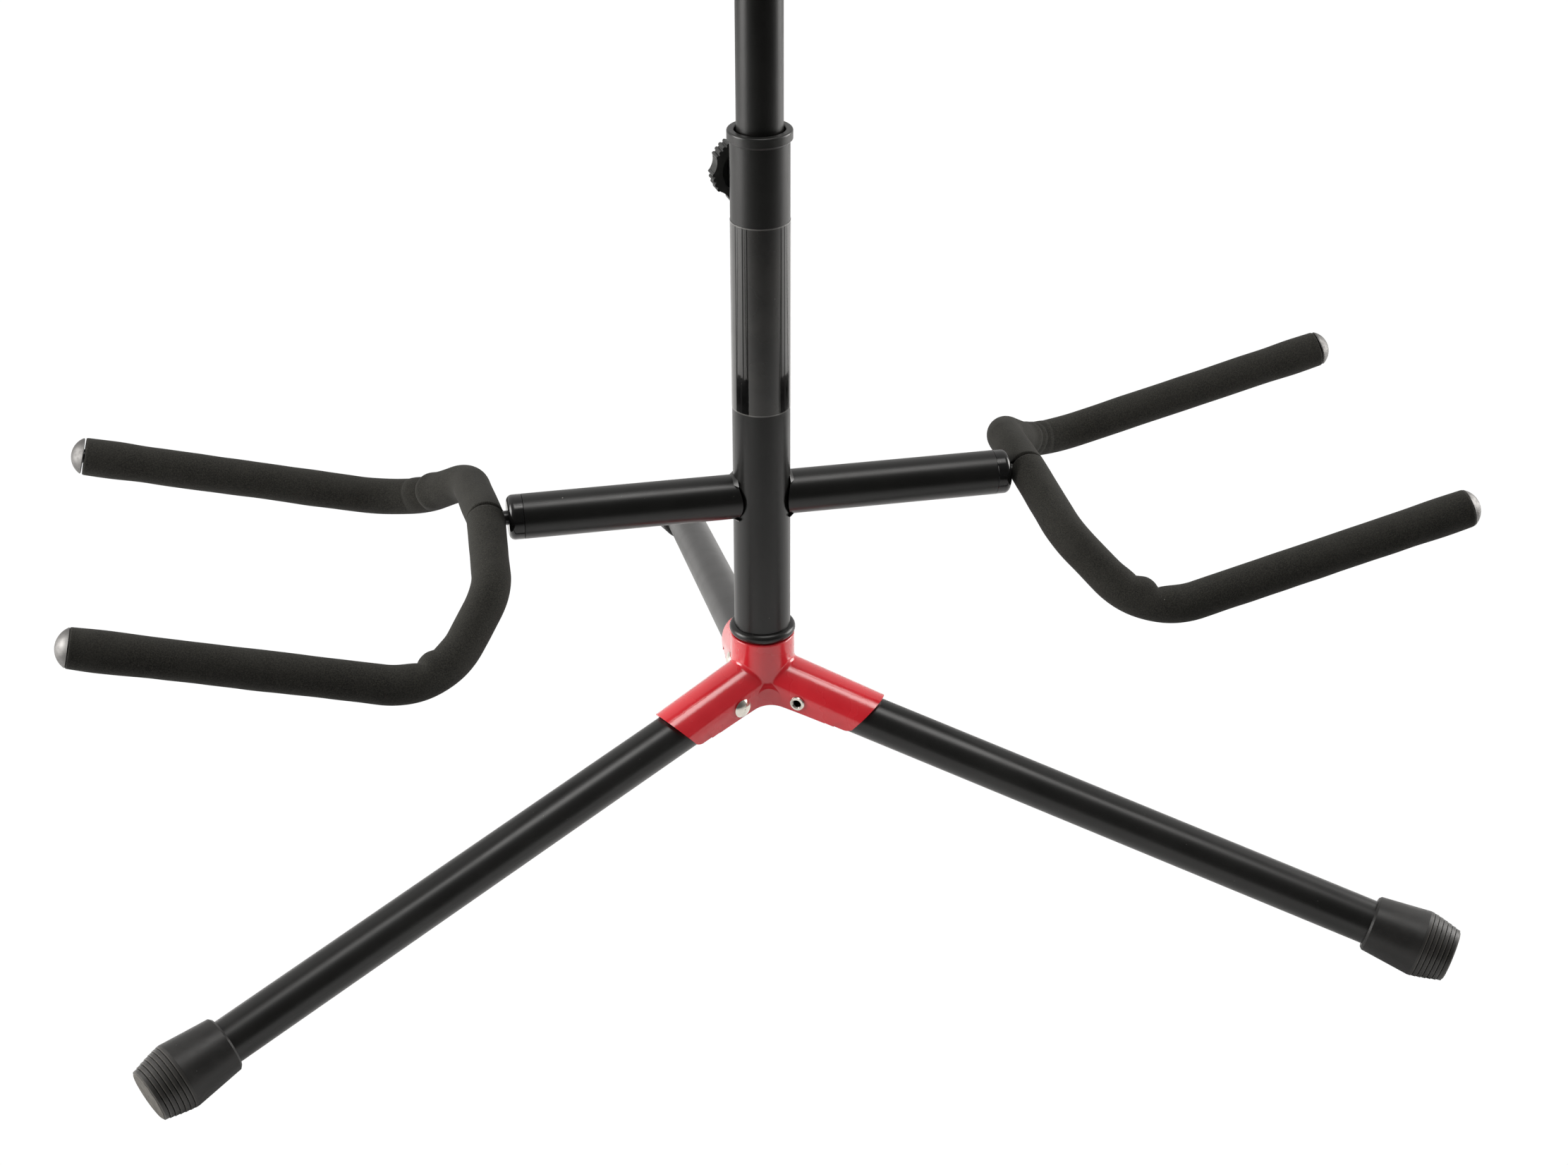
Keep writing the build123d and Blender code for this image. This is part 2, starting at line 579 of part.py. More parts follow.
def yoke(side, name, label, z, points, bends, tube_end, foam_r, dome):
    """Write every piece of one pivoting yoke. The points run from the pivot to the tip, z from it."""
    placed = [(x, y, z + rise) for x, y, rise in points]
    lines = {sign: half_line(side, sign, placed, bends) for sign in (-1, 1)}
    names = {-1: "front", 1: "rear"}
    tail = tube_end - CAP_SPIGOT - ROD_TAIL
    pivot = side_plane(side, tail, z)
    with BuildPart() as rod:
        with BuildSketch(pivot):
            Circle(ROD_R)
        extrude(amount=points[0][0] - tail)
        for sign in lines:
            add(tube_on(lines[sign], ROD_R, 0))
        add(Sphere(ROD_R, mode=Mode.PRIVATE).moved(Location(lines[1] @ 0)))
    write(rod.part, f"{label}_rod_{name}")

    with BuildPart() as caps:
        for sign, line in lines.items():
            plane = Plane(origin=(line @ 1) - (line % 1) * DOME_SOCKET, z_dir=line % 1)
            add(dome_cap(plane, *dome))
    write(caps.part, f"{label}_end_caps_{name}")

    for sign, line in lines.items():
        sleeve = tube_on(line, foam_r, ROD_R + RUNNING)
        root = points[0][0]
        end = DOME_SOCKET + FOAM_PLAY
        with BuildPart() as foam:
            add(sleeve)
            # room for the pivot stub, a slit between the two sleeves, and the dome at the tip
            with BuildSketch(side_plane(side, root - CLEAR, z)):
                Circle(ROD_R + FOAM_PLAY)
            extrude(amount=CLEAR, mode=Mode.SUBTRACT)
            with BuildSketch(Plane(origin=(side * root, FOAM_PLAY * sign, z), z_dir=(0, -sign, 0))):
                Rectangle(CLEAR, CLEAR)
            extrude(amount=CLEAR, mode=Mode.SUBTRACT)
            with BuildSketch(Plane(origin=(line @ 1) - (line % 1) * end, z_dir=line % 1)):
                Circle(2 * foam_r)
            extrude(amount=2 * end, mode=Mode.SUBTRACT)
        write(foam.part, f"{label}_foam_{name}_{names[sign]}")

    seat = tube_end - CAP_SPIGOT - 2 * RUNNING
    washer = side_plane(side, seat - WASHER[1], z)
    clip = side_plane(side, seat - WASHER[1] - CLIP[1], z)
    write(ring(washer, WASHER[0], ROD_R + RUNNING, WASHER[1]), f"{label}_washer_{name}")
    write(ring(clip, CLIP[0], ROD_R, CLIP[1]), f"{label}_clip_{name}")


arm_rise = tan(radians(YOKE_TILT))
corner_z = YOKE_TIP_Z - (YOKE_TIP_X - YOKE_CORNER_X) * arm_rise
body_points = (
    (YOKE_BACK, 0, 0),
    YOKE_KNEE,
    (YOKE_CORNER_X, YOKE_HALF_SPAN, corner_z),
    (YOKE_TIP_X, YOKE_HALF_SPAN, YOKE_TIP_Z),
)
neck_points = (
    (NECK_BACK, 0, 0),
    (NECK_BACK + 4, NECK_HALF_SPAN, 0),
    (NECK_TIP[0], NECK_HALF_SPAN, NECK_TIP[1]),
)
for name, side in SIDES.items():
    yoke(
        side, name, "yoke", CROSS_Z, body_points, YOKE_BENDS, CROSS_END, FOAM_R,
        (DOME_R, DOME_RISE),
    )
    yoke(
        side, name, "neck", NECK_Z, neck_points, (NECK_BEND,), NECK_END, NECK_FOAM_R,
        (NECK_FOAM_R - 0.3, DOME_RISE),
    )
    write(bearing_cap(side, NECK_END, NECK_Z), f"neck_cap_{name}")

# ============================================================================================
# Upper mast: sliding tube with a guide sleeve at its foot and the neck bar welded across its top
# ============================================================================================
with BuildPart() as upper_tube:
    with BuildSketch(Plane.XY.offset(UPPER_FOOT)):
        Circle(TUBE_R)
        Circle(TUBE_BORE_R, mode=Mode.SUBTRACT)
    extrude(amount=NECK_Z - UPPER_FOOT)
    with BuildSketch(Plane.YZ):
        with Locations((0, NECK_Z)):
            Circle(TUBE_R)
    extrude(amount=CLEAR, both=True, mode=Mode.SUBTRACT)
write(upper_tube.part, "upper_tube")

sleeve_top = UPPER_FOOT + SLEEVE_LENGTH - SLEEVE_STOP
with BuildPart() as guide_sleeve:
    with BuildSketch(Plane.XZ):
        with BuildLine():
            Polyline(
                (TUBE_BORE_R - SLEEVE_EDGE, UPPER_FOOT - SLEEVE_STOP),
                (MAST_BORE_R - RUNNING - SLEEVE_EDGE, UPPER_FOOT - SLEEVE_STOP),
                (MAST_BORE_R - RUNNING, UPPER_FOOT - SLEEVE_STOP + SLEEVE_EDGE),
                (MAST_BORE_R - RUNNING, sleeve_top - SLEEVE_EDGE),
                (MAST_BORE_R - RUNNING - SLEEVE_EDGE, sleeve_top),
                (TUBE_R + RUNNING, sleeve_top),
                (TUBE_R + RUNNING, UPPER_FOOT - RUNNING),
                (TUBE_BORE_R - SLEEVE_EDGE, UPPER_FOOT - RUNNING),
                close=True,
            )
        make_face()
    revolve(axis=Axis.Z)
write(guide_sleeve.part, "guide_sleeve")

with BuildPart() as neck_bar:
    with BuildSketch(Plane.YZ):
        with Locations((0, NECK_Z)):
            Circle(TUBE_R)
            Circle(TUBE_BORE_R, mode=Mode.SUBTRACT)
    extrude(amount=NECK_END, both=True)
write(neck_bar.part, "neck_bar")

with BuildPart() as neck_bar_weld:
    # a bead on each side of the tube, following the saddle where it meets the bar
    with BuildSketch(Plane.XY.offset(NECK_Z)):
        Circle(TUBE_R + NECK_WELD)
    extrude(amount=-CLEAR)
    with BuildSketch(Plane.YZ):
        with Locations((0, NECK_Z)):
            Circle(TUBE_R + NECK_WELD)
    extrude(amount=CLEAR, both=True, mode=Mode.INTERSECT)
    with BuildSketch(Plane.XZ):
        with Locations((0, NECK_Z)):
            Rectangle(2 * CLEAR, 2 * CLEAR)
    extrude(amount=NECK_WELD_HALF, both=True, mode=Mode.INTERSECT)
    with BuildSketch(Plane.XY.offset(NECK_Z)):
        Circle(TUBE_R)
    extrude(amount=-CLEAR, mode=Mode.SUBTRACT)
    with BuildSketch(Plane.YZ):
        with Locations((0, NECK_Z)):
            Circle(TUBE_R)
    extrude(amount=CLEAR, both=True, mode=Mode.SUBTRACT)
write(neck_bar_weld.part, "neck_bar_weld")


# ============================================================================================
# Legs: tube, ridged rubber foot, and the three tubular rivets that carry them in the hub
# ============================================================================================
def foot_profile():
    """Outline of a foot as (radius, distance along the leg): collar, swell, ribbed taper."""
    collar, swell, face = FOOT_R
    step = (FOOT_END - FOOT_RIDGE) / FOOT_RIDGES
    points = [
        (TUBE_R + RUNNING, FOOT_START),
        (collar - FOOT_EDGE, FOOT_START),
        (collar, FOOT_START + FOOT_EDGE),
        (swell, FOOT_RIDGE),
    ]
    for rib in range(FOOT_RIDGES):
        t0 = rib / FOOT_RIDGES
        t1 = (rib + 1) / FOOT_RIDGES
        top = swell + (face - swell) * t0**FOOT_CURVE
        low = swell + (face - swell) * t1**FOOT_CURVE
        s = FOOT_RIDGE + rib * step
        points += [
            (top - RIDGE_LAND[1] * (top - low), s + RIDGE_LAND[0] * step),
            (low - RIDGE_GROOVE[1], s + RIDGE_GROOVE[0] * step),
        ]
        if rib < FOOT_RIDGES - 1:
            points += [(low, s + step)]
    points += [
        (face - FOOT_FACE_EDGE, FOOT_END),
        (0, FOOT_END),
        (0, FOOT_START + TUBE_IN_FOOT),
        (TUBE_R + RUNNING, FOOT_START + TUBE_IN_FOOT),
    ]
    return points


with BuildPart() as leg_rivets:
    # domed head on one flank, rolled eyelet on the other
    for azimuth in LEG_AZIMUTHS:
        frame = leg_plane(azimuth)
        shank = Plane(frame.origin, x_dir=frame.z_dir, z_dir=frame.x_dir)
        with BuildSketch(revolve_plane(shank)):
            with BuildLine():
                Polyline(
                    (0, WING_R + RIVET_HEAD_RISE),
                    (0, WING_R - RIVET_BORE_R),
                    (RIVET_BORE_R, WING_R - 2 * RIVET_BORE_R),
                    (RIVET_BORE_R, -WING_R - EYELET_RISE[3]),
                    (EYELET_R - EYELET_ROLL[1], -WING_R - EYELET_RISE[2]),
                    (EYELET_R - EYELET_ROLL[0], -WING_R - EYELET_RISE[1]),
                    (EYELET_R, -WING_R - EYELET_RISE[0]),
                    (EYELET_R, -WING_R),
                    (RIVET_R, -WING_R),
                    (RIVET_R, WING_R),
                    (RIVET_HEAD_R - RIVET_RIM[0], WING_R),
                    (RIVET_HEAD_R, WING_R + RIVET_RIM[1]),
                )
                ThreePointArc(
                    *dome_arc(RIVET_HEAD_R, WING_R + RIVET_RIM[1], WING_R + RIVET_HEAD_RISE)
                )
            make_face()
        revolve(axis=Axis(shank.origin, shank.z_dir))
write(leg_rivets.part, "leg_rivets")

for number, azimuth in enumerate(LEG_AZIMUTHS, start=1):
    frame = leg_plane(azimuth)
    with BuildPart() as leg_tube:
        with BuildSketch(frame.offset(-LEG_INNER_END)):
            Circle(TUBE_R)
            Circle(TUBE_BORE_R, mode=Mode.SUBTRACT)
        extrude(amount=LEG_INNER_END + FOOT_START + TUBE_IN_FOOT - RUNNING)
        with BuildSketch(Plane(frame.origin, x_dir=frame.z_dir, z_dir=frame.x_dir)):
            Circle(RIVET_R + RUNNING)
        extrude(amount=CLEAR, both=True, mode=Mode.SUBTRACT)
    write(leg_tube.part, f"leg_tube_{number}")

    with BuildPart() as leg_foot:
        with BuildSketch(revolve_plane(frame)):
            with BuildLine():
                Polyline(*foot_profile(), close=True)
            make_face()
        revolve(axis=Axis(frame.origin, frame.z_dir))
        # the ribs are worn to a flat where they stand on the floor
        with BuildSketch(Plane.XY):
            Circle(2 * FOOT_END)
        extrude(amount=-CLEAR, mode=Mode.SUBTRACT)
    write(leg_foot.part, f"leg_foot_{number}")
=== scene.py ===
import json
from collections import namedtuple
from itertools import product
from math import cos, pi, radians, sin, tan

import bmesh
import bpy
import numpy as np
from mathutils import Matrix, Vector


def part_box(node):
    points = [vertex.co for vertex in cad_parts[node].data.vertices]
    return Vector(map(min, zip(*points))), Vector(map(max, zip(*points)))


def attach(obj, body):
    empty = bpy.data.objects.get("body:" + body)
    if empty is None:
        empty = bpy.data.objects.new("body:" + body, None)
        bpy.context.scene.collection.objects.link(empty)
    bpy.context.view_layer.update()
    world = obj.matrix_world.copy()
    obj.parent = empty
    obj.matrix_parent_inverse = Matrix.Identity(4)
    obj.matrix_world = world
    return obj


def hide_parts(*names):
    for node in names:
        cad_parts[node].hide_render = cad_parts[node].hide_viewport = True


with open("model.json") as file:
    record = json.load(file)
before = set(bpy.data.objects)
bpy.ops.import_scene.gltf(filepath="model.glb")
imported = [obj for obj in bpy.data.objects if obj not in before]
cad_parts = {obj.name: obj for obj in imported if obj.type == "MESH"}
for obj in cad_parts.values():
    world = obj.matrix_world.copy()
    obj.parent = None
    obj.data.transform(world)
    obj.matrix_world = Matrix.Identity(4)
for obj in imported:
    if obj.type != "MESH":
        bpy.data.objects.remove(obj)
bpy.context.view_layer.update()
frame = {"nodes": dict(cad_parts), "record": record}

MM = 0.001
scene = bpy.context.scene

# the mast axis in the row frame, and the yokes' and legs' layout, as the CAD draws them (metres)
lo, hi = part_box("mast_tube")
MAST = ((lo[0] + hi[0]) / 2, (lo[1] + hi[1]) / 2)
LEG_AZIMUTHS = {1: 88.0, 2: 208.0, 3: 328.0}
LEG_SLOPE = 13.4
PIVOT_RADIUS, PIVOT_Z = 0.027, 0.104
# where the ribs of a foot start and end, from the leg's pivot, and how many there are
FOOT_RIDGE, FOOT_END, FOOT_RIDGES = 0.3704, 0.3889, 7


# ------------------------------------------------------------------------------------------------
# Node helpers
# ------------------------------------------------------------------------------------------------
class Nodes:
    """A node tree, with one method per kind of node used here."""

    def __init__(self, tree):
        self.nodes = tree.nodes
        self.links = tree.links

    def add(self, kind, **settings):
        node = self.nodes.new(kind)
        for key, value in settings.items():
            setattr(node, key, value)
        return node

    def put(self, socket, value):
        if isinstance(value, bpy.types.NodeSocket):
            self.links.new(value, socket)
        elif isinstance(value, (tuple, list)) and len(value) == 3 and socket.type == "RGBA":
            socket.default_value = (*value, 1.0)
        else:
            socket.default_value = value

    def math(self, op, *values, clamp=False):
        node = self.add("ShaderNodeMath", operation=op, use_clamp=clamp)
        for socket, value in zip(node.inputs, values):
            self.put(socket, value)
        return node.outputs[0]

    def vec(self, op, *values):
        node = self.add("ShaderNodeVectorMath", operation=op)
        for socket, value in zip(node.inputs, values):
            self.put(socket, value)
        return node.outputs["Value" if op in ("DOT_PRODUCT", "LENGTH") else "Vector"]

    def spread(self, value):
        """A number repeated on all three axes."""
        node = self.add("ShaderNodeCombineXYZ")
        for socket in node.inputs:
            self.put(socket, value)
        return node.outputs[0]

    def xyz(self, vector):
        """The three parts of a vector."""
        split = self.add("ShaderNodeSeparateXYZ")
        self.put(split.inputs[0], vector)
        return split.outputs

    def ramp(self, value, low, high, out_low=0.0, out_high=1.0, kind="SMOOTHSTEP"):
        node = self.add("ShaderNodeMapRange", interpolation_type=kind, clamp=True)
        for key, v in zip(("Value", "From Min", "From Max", "To Min", "To Max"),
                          (value, low, high, out_low, out_high)):
            self.put(node.inputs[key], v)
        return node.outputs["Result"]

    def mix(self, fac, a, b):
        node = self.add("ShaderNodeMix", data_type="RGBA")
        self.put(node.inputs[0], fac)
        self.put(node.inputs[6], a)
        self.put(node.inputs[7], b)
        return node.outputs[2]


class Tree(Nodes):
    """A new material's node tree, with the patterns and the bump used on the stand."""

    def __init__(self, name):
        self.mat = bpy.data.materials.new(name)
        self.mat.use_nodes = True
        super().__init__(self.mat.node_tree)
        self.bsdf = next(n for n in self.nodes if n.type == "BSDF_PRINCIPLED")
        self.point = self.add("ShaderNodeTexCoord").outputs["Object"]

    def noise(self, scale, detail=3.0, rough=0.55, stretch=None):
        point = self.vec("MULTIPLY", self.point, stretch) if stretch else self.point
        node = self.add("ShaderNodeTexNoise")
        self.put(node.inputs["Vector"], point)
        node.inputs["Scale"].default_value = scale
        node.inputs["Detail"].default_value = detail
        node.inputs["Roughness"].default_value = rough
        return node.outputs["Fac"]

    def specks(self, cell, size, share):
        """Mask of tiny scattered dots: dust, lint or bright cells."""
        node = self.add("ShaderNodeTexVoronoi", feature="F1")
        self.put(node.inputs["Vector"], self.point)
        node.inputs["Scale"].default_value = 1.0 / cell
        near = self.ramp(node.outputs["Distance"], size / cell * 0.6, size / cell, 1.0, 0.0)
        split = self.add("ShaderNodeSeparateColor")
        self.put(split.inputs[0], node.outputs["Color"])
        keep = self.math("LESS_THAN", split.outputs[0], share)
        return self.math("MULTIPLY", near, keep)

    def edges(self, radius, low, high):
        """Mask of convex edges, from how far a bevelled normal turns away."""
        bevel = self.add("ShaderNodeBevel", samples=4)
        bevel.inputs["Radius"].default_value = radius
        geo = self.add("ShaderNodeNewGeometry")
        facing = self.vec("DOT_PRODUCT", bevel.outputs[0], geo.outputs["Normal"])
        return self.ramp(self.math("SUBTRACT", 1.0, facing), low, high)

    def bump(self, height, distance, strength=1.0, normal=None):
        node = self.add("ShaderNodeBump")
        node.inputs["Strength"].default_value = strength
        node.inputs["Distance"].default_value = distance
        self.put(node.inputs["Height"], height)
        if normal is not None:
            self.put(node.inputs["Normal"], normal)
        return node.outputs[0]

    def set(self, **values):
        for key, value in values.items():
            self.put(self.bsdf.inputs[key.replace("_", " ")], value)
        return self.mat


# ------------------------------------------------------------------------------------------------
# Material recipes (scales in cells a metre, depths and widths in metres, linear colours)
# ------------------------------------------------------------------------------------------------
DUST = (0.42, 0.40, 0.37)
COAT_WORN = (0.06, 0.059, 0.056)
RED_DEEP, RED_LIGHT = (0.66, 0.014, 0.025), (0.72, 0.018, 0.030)
RED_EDGE, RED_CHIP, RED_DUST = (0.42, 0.008, 0.014), (0.13, 0.035, 0.03), (0.75, 0.5, 0.48)
FOAM_PIT, FOAM_WALL = (0.0095, 0.0093, 0.0081), (0.038, 0.0366, 0.0312)
FOAM_PATCH, FOAM_CELL, LINT = (0.037, 0.0359, 0.0315), (0.34, 0.33, 0.30), (0.42, 0.41, 0.38)
PLATE_PIT = (0.16, 0.15, 0.13)
LABEL_DARK, LABEL_LIGHT = (0.018, 0.018, 0.017), (0.030, 0.029, 0.027)
LABEL_BLACK, LABEL_RIM = (0.0015, 0.0015, 0.0015), (0.16, 0.157, 0.15)
RUBBER_DARK, RUBBER_LIGHT = (0.0080, 0.0076, 0.0072), (0.015, 0.0142, 0.0133)
RUBBER_SMEAR = (0.045, 0.042, 0.038)
RIB_CREST, RIB_EDGE_HIGHLIGHT, RIB_GROOVE_SHADE = (0.040, 0.038, 0.035), (0.090, 0.084, 0.076), (0.003, 0.003, 0.003)
SCUFF_DARK, SCUFF_LIGHT, GATE_MARK = (0.070, 0.066, 0.058), (0.135, 0.127, 0.112), (0.01, 0.01, 0.01)


def dusted(t, color, amount=1.0, tone=DUST):
    """Adds fine dust and a few larger flecks to a colour."""
    fine = t.specks(0.0045, 0.00018, 0.30 * amount)
    fleck = t.specks(0.016, 0.0004, 0.16 * amount)
    both = t.math("MAXIMUM", fine, fleck)
    return t.mix(t.math("MULTIPLY", both, 0.55), color, tone)


def powder_coat(name, base, rough):
    """Satin black coat: faint orange peel, soft mottling, rub marks and dust."""
    t = Tree(name)
    mottle = t.noise(26.0, 4.0, 0.6)
    rub = t.noise(60.0, 5.0, 0.65, stretch=(1.0, 1.0, 0.15))
    color = t.mix(t.ramp(mottle, 0.3, 0.75), base, tuple(c * 1.5 + 0.002 for c in base))
    worn = t.edges(0.0009, 0.05, 0.6)
    bare = t.math("MULTIPLY", worn, t.ramp(rub, 0.45, 0.7, 0.02, 0.30))
    color = t.mix(bare, color, COAT_WORN)
    color = dusted(t, color)
    peel = t.noise(900.0, 2.0, 0.5)
    slow = t.noise(120.0, 2.0, 0.5)
    normal = t.bump(peel, 0.000012, 0.4)
    normal = t.bump(slow, 0.00002, 0.3, normal)
    roughness = t.math("ADD", rough, t.ramp(rub, 0.35, 0.8, -0.015, 0.03))
    return t.set(Base_Color=color, Roughness=roughness, Normal=normal, Specular_IOR_Level=0.5)


def enamel(name):
    """Glossy red enamel over pressed steel: slight waviness, darker thin edges, tiny chips."""
    t = Tree(name)
    tone = t.noise(38.0, 3.0, 0.5)
    color = t.mix(t.ramp(tone, 0.3, 0.75), RED_DEEP, RED_LIGHT)
    edge = t.edges(0.0008, 0.04, 0.5)
    chip = t.math("MULTIPLY", edge, t.ramp(t.noise(420.0, 3.0, 0.6), 0.73, 0.79))
    color = t.mix(t.math("MULTIPLY", edge, 0.12), color, RED_EDGE)
    color = t.mix(chip, color, RED_CHIP)
    color = dusted(t, color, 0.2, RED_DUST)
    wave = t.bump(t.noise(60.0, 2.0, 0.4), 0.00025, 0.14)
    fine = t.bump(t.noise(600.0, 2.0, 0.5), 0.00001, 0.2, wave)
    return t.set(Base_Color=color, Roughness=t.ramp(tone, 0.3, 0.7, 0.20, 0.30), Normal=fine,
                 Coat_Weight=1.0, Coat_Roughness=0.045, Coat_Normal=wave, Specular_IOR_Level=0.45)


def foam(name):
    """Closed-cell foam skin: matte, fine grain, pale pinhead cells and lint."""
    t = Tree(name)
    grain = t.noise(1500.0, 3.0, 0.7)
    patch = t.noise(45.0, 4.0, 0.6)
    color = t.mix(t.ramp(grain, 0.32, 0.70), FOAM_PIT, FOAM_WALL)
    color = t.mix(t.ramp(patch, 0.35, 0.75, 0.0, 0.35), color, FOAM_PATCH)
    cells = t.specks(0.0021, 0.00013, 0.30)
    lint = t.specks(0.011, 0.00032, 0.22)
    color = t.mix(t.math("MULTIPLY", cells, 0.34), color, FOAM_CELL)
    color = t.mix(t.math("MULTIPLY", lint, 0.55), color, LINT)
    cell_bump = t.bump(grain, 0.00016, 0.65)
    skin = t.bump(t.noise(210.0, 3.0, 0.6), 0.00025, 0.35, cell_bump)
    return t.set(Base_Color=color, Roughness=t.ramp(grain, 0.3, 0.7, 0.82, 0.97), Normal=skin,
                 Specular_IOR_Level=0.16, Sheen_Weight=0.03, Sheen_Roughness=0.6)


def moulded(name, base, rough, texture=0.00004, edge_tone=0.06, dust=0.8):
    """Injection-moulded plastic: fine surface texture, edges rubbed paler, dust."""
    t = Tree(name)
    cloud = t.noise(70.0, 4.0, 0.6)
    color = t.mix(t.ramp(cloud, 0.3, 0.75), base, tuple(c * 1.6 + 0.003 for c in base))
    color = t.mix(t.math("MULTIPLY", t.edges(0.0006, 0.05, 0.6), 0.45), color, (edge_tone,) * 3)
    color = dusted(t, color, dust)
    normal = t.bump(t.noise(1100.0, 2.0, 0.6), texture, 0.5)
    return t.set(Base_Color=color, Roughness=t.ramp(cloud, 0.3, 0.8, rough, rough + 0.1), Normal=normal)


def plated(name, base, rough, scratch=0.00003):
    """Plated steel: brushed scratches, slight tarnish and pits."""
    t = Tree(name)
    tarnish = t.noise(160.0, 5.0, 0.65)
    color = t.mix(t.ramp(tarnish, 0.45, 0.8), base, tuple(c * 0.62 for c in base))
    color = t.mix(t.specks(0.0018, 0.00014, 0.35), color, PLATE_PIT)
    lines = t.noise(900.0, 2.0, 0.5, stretch=(1.0, 0.12, 1.0))
    return t.set(Base_Color=color, Metallic=1.0, Roughness=t.ramp(tarnish, 0.3, 0.8, rough, rough + 0.16),
                 Normal=t.bump(lines, scratch, 0.5))


# the label, in radians from the middle of its face: dark side bands, and lines with their half widths
LABEL_FACE = radians(-93.0)
LABEL_BAND = (0.58, 1.14)
LABEL_LINES = ((0.60, 0.014), (0.77, 0.018), (1.10, 0.018))
LABEL_DARK_FOOT = (0.24, 0.27)  # share of the height below which the bands are black


def label_film(name):
    """Glossy printed wrap left blank: plain field, darker side bands and thin pinstripes."""
    t = Tree(name)
    x, y, z = t.xyz(t.vec("SUBTRACT", t.point, (*MAST, 0.0)))
    side = t.math("ABSOLUTE", t.math("SUBTRACT", t.math("ARCTAN2", y, x), LABEL_FACE))
    label_lo, label_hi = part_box("mast_label")
    height = t.math("DIVIDE", t.math("SUBTRACT", z, label_lo[2]), label_hi[2] - label_lo[2])
    field = t.mix(t.ramp(t.noise(40.0, 3.0, 0.5), 0.3, 0.7), LABEL_DARK, LABEL_LIGHT)
    # bands turn black near the label's foot, with a ragged upper edge
    torn = t.math("ADD", height, t.math("MULTIPLY", t.noise(300.0, 4.0, 0.7), 0.10))
    deep = t.ramp(torn, LABEL_DARK_FOOT[1], LABEL_DARK_FOOT[0], 0.10, 1.0)
    ragged = t.math("ADD", side, t.math("MULTIPLY", t.noise(160.0, 4.0, 0.7), 0.04))
    start, end = LABEL_BAND
    band = t.math("MULTIPLY", t.ramp(ragged, start, start + 0.02), t.ramp(ragged, end, end - 0.02))
    dark = t.math("MULTIPLY", band, deep)
    for at, width in LABEL_LINES:
        line = t.ramp(t.math("ABSOLUTE", t.math("SUBTRACT", side, at)), width, width * 1.8, 0.85, 0.0)
        dark = t.math("MAXIMUM", dark, line)
    color = t.mix(dark, field, LABEL_BLACK)
    rim = t.ramp(t.math("ABSOLUTE", t.math("SUBTRACT", height, 0.5)), 0.491, 0.496)
    color = t.mix(t.math("MULTIPLY", rim, 0.7), color, LABEL_RIM)
    color = dusted(t, color, 0.6)
    wave = t.bump(t.noise(55.0, 3.0, 0.5, stretch=(1.0, 1.0, 0.3)), 0.0002, 0.2)
    return t.set(Base_Color=color, Roughness=t.ramp(t.noise(90.0, 4.0, 0.6), 0.3, 0.8, 0.16, 0.26),
                 Normal=wave, Coat_Weight=t.ramp(dark, 0.0, 1.0, 0.5, 0.04), Coat_Roughness=0.08,
                 Specular_IOR_Level=t.ramp(dark, 0.0, 1.0, 0.5, 0.12))


